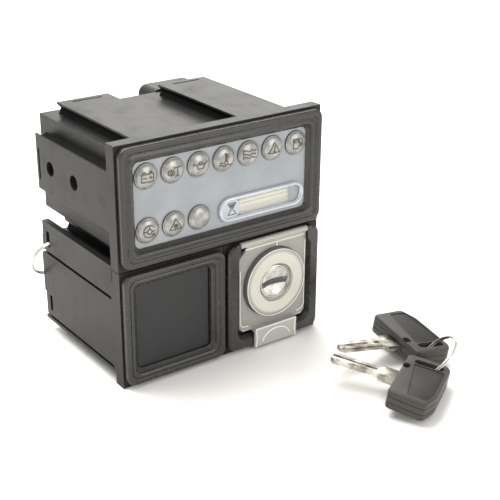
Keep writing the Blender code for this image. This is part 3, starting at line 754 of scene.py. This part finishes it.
def turned_metal(name, colour, roughness, rings=900.0):
    """Metal with fine lathe rings round the lock's axis and darker worn patches."""
    finish = Finish(name, colour, roughness, metallic=1.0)
    where = finish.place(centre=(LOCK[0], 0.0, LOCK[1]))
    lathe = finish.add(
        "ShaderNodeTexWave",
        {"wave_type": "RINGS", "rings_direction": "Y"},
        {"Vector": where, "Scale": rings, "Distortion": 0.6, "Detail": 2.0},
        "Fac",
    )
    wear = finish.noise(where, 350.0, 4.0)
    darker = tuple(part * 0.72 for part in colour)
    finish.mottle(wear, colour, darker)
    finish.drive("Roughness", roughness - 0.05 + 0.1 * lathe + 0.08 * wear)
    finish.bump(lathe, 0.08, 0.00002)
    return finish.material


NICKEL = turned_metal("lock_nickel", (0.78, 0.76, 0.71), 0.2)
plug_profile = [(0.0, -0.0008), (SHUTTER_R, -0.0008)]
plug_profile += [(SHUTTER_R, PLUG_FRONT + 0.0001), (SHUTTER_R + 0.0001, PLUG_FRONT)]
plug_profile += arc((PLUG_R - 0.0003, PLUG_FRONT + 0.0003), 0.0003, 270, 360, 3)
plug_profile += [(PLUG_R, 0.0004), (PLUG_STEP, 0.0004), (PLUG_STEP, PLUG_REAR)]
plug_profile += [(TAIL_R, PLUG_REAR), (TAIL_R, TAIL_REAR), (0.0, TAIL_REAR)]
plug = piece_of("plug_body", turned(plug_profile, LOCK, 56), NICKEL, "lock_core")
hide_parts("lock_plug")
shutter_profile = [(0.0, SHUTTER_REAR), (0.0, -0.0014), (0.0012, -0.00145), (0.0025, -0.0016)]
shutter_profile += [(0.0038, -0.0019), (0.0050, -0.0023), (0.0060, -0.0027)]
shutter_profile += [(SHUTTER_R - 0.0004, -0.0029), (SHUTTER_R - 0.0001, -0.0028)]
shutter_profile += [(SHUTTER_R - 0.0001, SHUTTER_REAR), (0.0, SHUTTER_REAR)]
for side, reach in (("upper", KEYWAY_REACH), ("lower", -KEYWAY_REACH)):
    bm = turned(shutter_profile, LOCK, 56)
    cut = bmesh.ops.bisect_plane(
        bm,
        geom=bm.verts[:] + bm.edges[:] + bm.faces[:],
        plane_co=(LOCK[0], 0.0, KEYWAY_Z + reach),
        plane_no=(0.0, 0.0, -1.0 if side == "upper" else 1.0),
        clear_outer=True,
    )
    rim_edges = [item for item in cut["geom_cut"] if isinstance(item, bmesh.types.BMEdge)]
    bmesh.ops.holes_fill(bm, edges=rim_edges, sides=0)
    bmesh.ops.recalc_face_normals(bm, faces=bm.faces)
    piece_of(f"{side}_shutter", bm, NICKEL, "lock_core")
# A dark disc on the recess floor between the shutters is painted shade, for the shadow deep in the keyway.
keyway_shade = Finish("keyway_painted_shade", (0.012, 0.014, 0.015), 0.4, metallic=0.6)
keyway_shade.drive("Roughness", 0.3 + 0.3 * keyway_shade.noise(keyway_shade.place(), 900.0, 3.0))
keyway_profile = [(0.0, -0.0009), (0.0, -0.0012), (0.0064, -0.0012)]
keyway_profile += [(0.0067, -0.0011), (0.0068, -0.0009), (0.0, -0.0009)]
keyway_bm = turned(keyway_profile, LOCK, 40)
piece_of("keyway_shade_disc", keyway_bm, keyway_shade.material, "lock_core")
softened("lock_barrel", 0.0002, NICKEL, "panel")
BRASS = turned_metal("terminal_tin", (0.70, 0.58, 0.34), 0.3, 500.0)
for node in ("lock_nut", *(f"blade_terminal_{number}" for number in range(1, 5))):
    softened(node, 0.00012, BRASS, "panel")

cream = Finish(
    "escutcheon_cream", (0.84, 0.80, 0.70), 0.32, subsurface_weight=0.3, coat_weight=0.3
)
cream.set("Subsurface Radius", (0.004, 0.0035, 0.003))
cream_cloud = cream.noise(cream.place(), 160.0, 3.0)
cream.drive("Base Color", cream.blend(cream_cloud, (0.80, 0.755, 0.65), (0.89, 0.86, 0.78)))
cream.drive("Roughness", 0.28 + 0.12 * cream_cloud)
ESCUTCHEON_BORE, ESCUTCHEON_R = 0.0096, 0.0142
escutcheon_profile = [(ESCUTCHEON_BORE, 0.0), (ESCUTCHEON_BORE, -0.0022)]
escutcheon_profile += [*arc((0.0104, -0.0022), 0.0008, 180, 270, 4), (0.0122, -0.0030)]
escutcheon_profile += [*arc((0.0128, -0.0016), 0.0014, 270, 360, 6), (ESCUTCHEON_R, 0.0)]
escutcheon_profile += [(ESCUTCHEON_BORE, 0.0)]
escutcheon_bm = turned(escutcheon_profile, LOCK, 64)
escutcheon = piece_of("escutcheon_ring", escutcheon_bm, cream.material, "panel")
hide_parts("lock_escutcheon")
softened("contact_rotor", 0.0002, cream.material, "lock_core")
gasket = Finish("gasket_rubber", (0.02, 0.02, 0.02), 0.75)
gasket.drive("Roughness", 0.65 + 0.2 * gasket.noise(gasket.place(), 1200.0))
refinish("lock_gasket", gasket.material)

# Flip cap: soft milky plastic, moulded in one with its hinge knuckle, dome and latch tab.
# It is thin enough for the lock and the dark recess to show through, and its edges catch the light.
DOME_R = 0.0163
cap = Finish(
    "cap_milky_plastic", (0.6, 0.58, 0.54), 0.3, coat_weight=0.5, coat_roughness=0.15
)
cap_where = cap.place(centre=(LOCK[0], 0.0, LOCK[1]))
flat_way = cap.add(
    "ShaderNodeVectorMath", {"operation": "MULTIPLY"}, {0: cap_where, 1: (1.0, 0.0, 1.0)}
)
from_lock = cap.add("ShaderNodeVectorMath", {"operation": "LENGTH"}, {0: flat_way}, 1)
# The dome's face is painted bright cream. Part of this is the cream escutcheon seen through it, and part is
# painted light, because the escutcheon lies in the cap's shadow.
dome_face_lit_mask = cap.between(from_lock, DOME_R - 0.0026, DOME_R - 0.0014, 1.0, 0.0)
dome_mask = cap.between(from_lock, DOME_R - 0.0008, DOME_R - 0.0005, 1.0, 0.0)
# The narrow ring of the dome's side wall is painted near-black. This is painted shade, for the shadowed
# wall over the dark recess.
dome_wall_shade_mask = cap.between(from_lock, DOME_R + 0.0001, DOME_R + 0.0004, 1.0, 0.0)
cap_cloud = cap.noise(cap_where, 130.0, 4.0, 0.6)
cap_edge = cap.add("ShaderNodeLayerWeight", {}, {"Blend": 0.3}, "Facing")
cap_height = cap.add("ShaderNodeSeparateXYZ", {}, {0: cap_where}, 2)
tab_mask = cap.between(cap_height, -0.0212, -0.0202, 1.0, 0.0)
strip_mask = cap.between(cap_height, 0.0178, 0.0184, 0.0, 1.0)
plate_colour = cap.blend(cap_cloud, (0.36, 0.35, 0.33), (0.47, 0.46, 0.43))
plate_colour = cap.blend(tab_mask, plate_colour, (0.47, 0.465, 0.445))
plate_colour = cap.blend(strip_mask, plate_colour, (0.52, 0.50, 0.46))
# Painted shade on the dome's side wall.
shaded_wall_colour = cap.blend(dome_wall_shade_mask, plate_colour, (0.10, 0.098, 0.09))
lip_colour = cap.blend(dome_mask, shaded_wall_colour, (0.44, 0.43, 0.40))
# Painted light: the dome face takes the bright cream of the lit escutcheon.
cap.drive("Base Color", cap.blend(dome_face_lit_mask, lip_colour, (0.66, 0.635, 0.565)))
cap.drive("Alpha", 0.60 + 0.24 * dome_mask + 0.25 * cap_edge + 0.2 * tab_mask)
cap.drive("Roughness", 0.24 + 0.16 * cap_cloud)
cap.bump(cap.noise(cap_where, 2600.0, 2.0), 0.25, 0.00002)
softened("flip_cap", 0.0003, cap.material, "cap", 3)
# Thin bright beads stand for the light that runs along the edges of the plate, the tab and the dome.
bead = Finish(
    "cap_bead", (0.88, 0.86, 0.80), 0.2, coat_weight=0.8, coat_roughness=0.08, alpha=0.9
)
bead.drive("Roughness", 0.16 + 0.14 * bead.noise(bead.place(), 700.0, 2.0))
CAP_LOW, CAP_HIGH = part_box("flip_cap")
CAP_LEFT, CAP_RIGHT = CAP_LOW.x + 0.0003, CAP_HIGH.x - 0.0003
TAB_LEFT, TAB_RIGHT, TAB_TOP, TAB_STEP = 0.0143, 0.0377, 0.0100, 0.0011
PLATE_Y, TAB_Y, DOME_Y = FLANGE_FRONT - 0.0014, FLANGE_FRONT - 0.0044, FLANGE_FRONT - 0.0042


def on_plate(points, y):
    """(x, z) points, set at this depth."""
    return [(x, y, z) for x, z in points]


plate_left = [(CAP_LEFT + 0.0002, 0.0395), (CAP_LEFT + 0.0002, 0.0135)]
plate_left += [(CAP_LEFT + 0.0012, 0.0119), (0.0125, 0.0113)]
plate_right = [(CAP_RIGHT, 0.0465), (CAP_RIGHT, 0.0140), (CAP_RIGHT - 0.0014, 0.0120), (0.0400, 0.0113)]
plate_top = [(CAP_LEFT + 0.0030, 0.0492), (CAP_RIGHT - 0.0004, 0.0492)]
plate_beads = [(on_plate(points, PLATE_Y), False) for points in (plate_left, plate_right, plate_top)]
plate_beads.append((on_plate([(0.0279, 0.0494), (0.0279, 0.0472)], PLATE_Y - 0.0002), False))
tab_left, tab_right = [], []
for step in range(9):
    bulge, height = 0.0006 * sin(step / 8 * pi), TAB_TOP - TAB_STEP * step
    tab_left.append((TAB_LEFT + 0.0004 + bulge, height))
    tab_right.append((TAB_RIGHT - 0.0004 - bulge, height))
tab_top = [tab_left[0], tab_right[0]]
thumb_arc = ellipse(0.0262, 0.0022, 0.0078, 0.0058, 8.0, 172.0, 20)
tab_strokes = (tab_left, tab_right, tab_top, thumb_arc)
tab_beads = [(on_plate(points, TAB_Y), False) for points in tab_strokes]
wire_lines("cap_plate_beads", plate_beads, 0.00025, bead.material, "cap", 3)
wire_lines("cap_tab_beads", tab_beads, 0.00034, bead.material, "cap", 3)
DOME_BEAD_R = DOME_R - 0.0004
dome_bead = on_plate(ellipse(*LOCK, DOME_BEAD_R, DOME_BEAD_R, steps=72), DOME_Y + 0.0001)[:-1]
wire_lines("cap_dome_bead", [(dome_bead, True)], 0.0002, bead.material, "cap", 3)
window = Finish("cap_window_clear", (0.85, 0.85, 0.83), 0.08, alpha=0.05, coat_weight=0.4)
window.drive("Roughness", 0.05 + 0.1 * window.noise(window.place(), 380.0, 3.0))
softened("cap_window", 0.0001, window.material, "cap")
softened("cap_hinge_pin", 0.0001, NICKEL, "panel")

# Keys: nickel-plated blades with a milled groove and cut edges, moulded into dark grey nylon heads.
# Each head is three layers with seams between them. It has a sunk grip panel, a small pit, and a slot
# for the ring.
KEY_HEAD = moulded(
    "key_head_nylon", (0.044, 0.043, 0.039), 0.42, 0.00003, (0.014, 0.0135, 0.012), 0.22
)
KEY_PANEL = moulded(
    "key_panel_nylon", (0.026, 0.0255, 0.024), 0.5, 0.00005, (0.010, 0.0095, 0.009), 0.16
)
KEY_LENGTH, KEY_SLOT_END, KEY_THICK, KEY_CORNER = 0.0195, 0.0174, 0.0085, 0.005
LOWER_SEAM, UPPER_SEAM, SEAM_HALF = 0.0029, 0.0056, 0.00013
PANEL_DEPTH, PIT_DEPTH, ABOVE_KEY = 0.0005, 0.0026, 0.011
KEYS = {
    "key_a": ((0.0603, -0.0837, 0.00356), (170.5, 7.7, -3.2), 1),
    "key_b": ((0.0389, -0.1084, 0.00356), (122.0, 8.0, 2.7), -1),
}


def head_outline(inset):
    """Points of a head. The blade leaves it at u = 0, and the ring slot is near its highest v."""
    corner_u, corner_v = -KEY_LENGTH + KEY_CORNER, KEY_SLOT_END - KEY_CORNER
    turns = [radians(step * 11.25) for step in range(9)]
    points = [(0.0, KEY_SLOT_END - 0.0016), (-0.0005, KEY_SLOT_END - 0.0005), (-0.0016, KEY_SLOT_END)]
    points += [(corner_u - KEY_CORNER * sin(turn), corner_v + KEY_CORNER * cos(turn)) for turn in turns]
    points += [(-KEY_LENGTH, -0.0112), (-0.0191, -0.0130), (-0.0172, -0.0192), (-0.0164, -0.0204)]
    points += [(-0.0150, -0.0208), (-0.0022, -0.0192), (-0.0006, -0.0186), (0.0, -0.0172)]
    moved = []
    for index, here in enumerate(points):
        before = Vector(here) - Vector(points[index - 1])
        after = Vector(points[(index + 1) % len(points)]) - Vector(here)
        inward = [Vector((-edge.y, edge.x)).normalized() for edge in (before, after)]
        middle = (inward[0] + inward[1]).normalized()
        moved.append(Vector(here) + middle * inset / max(0.5, middle.dot(inward[0])))
    return moved


def slab(outline, low, high, rim=0.0, segments=3):
    """A flat solid of this outline between two heights, with rounded rims."""
    bm = bmesh.new()
    face = bm.faces.new([bm.verts.new((u, v, low)) for u, v in outline])
    grown = bmesh.ops.extrude_face_region(bm, geom=[face])
    lifted = [item for item in grown["geom"] if isinstance(item, bmesh.types.BMVert)]
    bmesh.ops.translate(bm, vec=(0.0, 0.0, high - low), verts=lifted)
    if rim:
        level = [edge for edge in bm.edges if abs(edge.verts[0].co.z - edge.verts[1].co.z) < 1e-7]
        bmesh.ops.bevel(
            bm, geom=level, offset=rim, segments=segments, profile=0.5, affect="EDGES", material=-1
        )
    bmesh.ops.recalc_face_normals(bm, faces=bm.faces)
    return bm


def seam_cutter(height):
    """A thin closed ring round the head's sides at this height."""
    low, high = height - SEAM_HALF, height + SEAM_HALF
    section = [(-0.0006, low), (-0.0006, high), (0.0003, high), (0.0003, low)]
    bm = swept_ring(section, head_outline)
    on_edge = Matrix(((1, 0, 0, 0), (0, 0, 1, 0), (0, 1, 0, -FLANGE_FRONT), (0, 0, 0, 1)))
    bmesh.ops.transform(bm, matrix=on_edge, verts=bm.verts)
    bmesh.ops.recalc_face_normals(bm, faces=bm.faces)
    return bm


def milled(bm, cutters):
    """The solid with each cutter's shape taken out of it."""
    solids = []
    for shape in (bm, *cutters):
        mesh = bpy.data.meshes.new("milling")
        shape.to_mesh(mesh)
        shape.free()
        solids.append(bpy.data.objects.new("milling", mesh))
        bpy.context.scene.collection.objects.link(solids[-1])
    for cutter in solids[1:]:
        step = solids[0].modifiers.new("cut", "BOOLEAN")
        step.operation = "DIFFERENCE"
        step.solver = "EXACT"
        step.object = cutter
    result = bmesh.new()
    result.from_object(solids[0], bpy.context.evaluated_depsgraph_get())
    for solid in solids:
        bpy.data.objects.remove(solid)
    bmesh.ops.remove_doubles(result, verts=result.verts, dist=FINE_WELD)
    return result


def ring_channel(place_back):
    """The ring's own space, as a torus in a key's frame, so that the ring clears the slot's walls."""
    tilt = Vector((0, 0, 1)).rotation_difference(Vector(KEY_RING_NORMAL)).to_matrix().to_4x4()
    bm = bmesh.new()
    circle = bmesh.ops.create_circle(bm, segments=10, radius=0.0015)
    upright = Matrix.Translation((0.0115, 0.0, 0.0)) @ Matrix.Rotation(pi / 2, 4, "X")
    bmesh.ops.transform(bm, matrix=upright, verts=circle["verts"])
    bmesh.ops.spin(
        bm,
        geom=bm.verts[:] + bm.edges[:],
        cent=(0, 0, 0),
        axis=(0, 0, 1),
        angle=tau,
        steps=40,
        use_merge=True,
    )
    to_key = place_back @ Matrix.Translation(KEY_RING_CENTRE) @ tilt
    bmesh.ops.transform(bm, matrix=to_key, verts=bm.verts)
    bmesh.ops.recalc_face_normals(bm, faces=bm.faces)
    return bm


BLADE_LOW, BLADE_HIGH = 0.0031, 0.0054
BITTING = (0.0, 0.0, 0.0006, 0.0006, 0.0001, 0.0001, 0.0009, 0.0009, 0.0004, 0.0004, 0.0011, 0.0011, 0.0003)
CUT_SPACING, BLADE_HALF = 0.00145, 0.0031
blade_upper = [(-0.0060, 0.0036), (0.0004, 0.0036), (0.0004, 0.0052), (0.0070, 0.0052)]
blade_upper += [(0.0074, 0.0048), (0.0076, 0.0036), (0.0082, BLADE_HALF)]
blade_upper += [(0.0272, BLADE_HALF), (0.0286, 0.0024), (0.0293, 0.0012)]
blade_lower = [(0.0293, -0.0012), (0.0284, -0.0024)]
blade_lower += [(0.0276 - CUT_SPACING * step, -BLADE_HALF + cut) for step, cut in enumerate(BITTING)]
blade_lower += [(0.0080, -BLADE_HALF), (0.0074, -0.0048), (0.0070, -0.0052)]
blade_lower += [(0.0004, -0.0052), (0.0004, -0.0036), (-0.0060, -0.0036)]
BLADE_OUTLINE = [*reversed(blade_lower), *reversed(blade_upper)]
BLADE_FINISH = Finish("key_nickel", (0.55, 0.52, 0.46), 0.24, metallic=1.0)
blade_where = BLADE_FINISH.place()
blade_wear = BLADE_FINISH.noise(blade_where, 700.0, 5.0, 0.7)
# The blade's colour swings between dark and bright patches. These are painted reflections, for the darker
# surroundings the polished metal would mirror.
BLADE_FINISH.mottle(BLADE_FINISH.noise(blade_where, 190.0, 3.0), (0.24, 0.22, 0.18), (0.66, 0.64, 0.58))
BLADE_FINISH.drive("Roughness", 0.16 + 0.26 * blade_wear)
BLADE_FINISH.bump(BLADE_FINISH.noise(blade_where, 2600.0, 3.0), 0.15, 0.00001)

for name, (where, (yaw, pitch, roll), flip) in KEYS.items():
    place = (
        Matrix.Translation(where)
        @ Matrix.Rotation(radians(yaw), 4, "Z")
        @ Matrix.Rotation(-radians(pitch), 4, "Y")
        @ Matrix.Rotation(radians(roll), 4, "X")
        @ Matrix.Diagonal((1.0, flip, 1.0, 1.0))
    )
    slot_outline = [(-0.0104 + u, 0.0121 + v) for u, v in rounded(0.0130, 0.0038, 0.0018, 6)]
    pocket_outline = [(-0.0068, -0.0039), (0.001, -0.0039), (0.001, 0.0039), (-0.0068, 0.0039)]
    panel_outline = [(-0.0042, 0.0096), (-0.0170, 0.0096), (-0.0178, 0.0088), (-0.0178, -0.0122)]
    panel_outline += [(-0.0162, -0.0174), (-0.0154, -0.0180), (-0.0084, -0.0176), (-0.0078, -0.0168)]
    pit_outline = [(-0.0017 + u, 0.0062 + v) for u, v in rounded(0.0030, 0.0044, 0.0014, 5)]
    cutters = [
        slab(slot_outline, -0.002, KEY_THICK + 0.002),
        slab(pocket_outline, LOWER_SEAM, UPPER_SEAM),
        slab(panel_outline, KEY_THICK - PANEL_DEPTH, ABOVE_KEY),
        slab(pit_outline, KEY_THICK - PIT_DEPTH, ABOVE_KEY),
        seam_cutter(LOWER_SEAM),
        seam_cutter(UPPER_SEAM),
        ring_channel(place.inverted()),
    ]
    grip = milled(slab(head_outline(0.0), 0.0, KEY_THICK, 0.0009), cutters)
    inlay_outline = [(u + (0.0002 if u < -0.01 else -0.0002), v * 0.985) for u, v in panel_outline]
    inlay_floor = KEY_THICK - PANEL_DEPTH
    inlay = slab(inlay_outline, inlay_floor + 0.00002, inlay_floor + 0.0002, 0.00006, 2)
    groove_outline = [(0.0301 + u, 0.0004 + v) for u, v in rounded(0.0420, 0.0017, 0.0008, 4)]
    groove = slab(groove_outline, BLADE_HIGH - 0.0006, BLADE_HIGH + 0.001)
    blade = milled(slab(BLADE_OUTLINE, BLADE_LOW, BLADE_HIGH, 0.00018, 2), [groove])
    for bm in (grip, inlay, blade):
        bmesh.ops.transform(bm, matrix=place, verts=bm.verts)
        bmesh.ops.recalc_face_normals(bm, faces=bm.faces)
    grip_piece = piece_of(f"{name}_grip", grip, KEY_HEAD, name, angle=40)
    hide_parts(f"{name}_head")
    piece_of(f"{name}_panel", inlay, KEY_PANEL, name, angle=40)
    steel = piece_of(f"{name}_steel", blade, BLADE_FINISH.material, name, angle=30)
    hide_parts(f"{name}_blade")
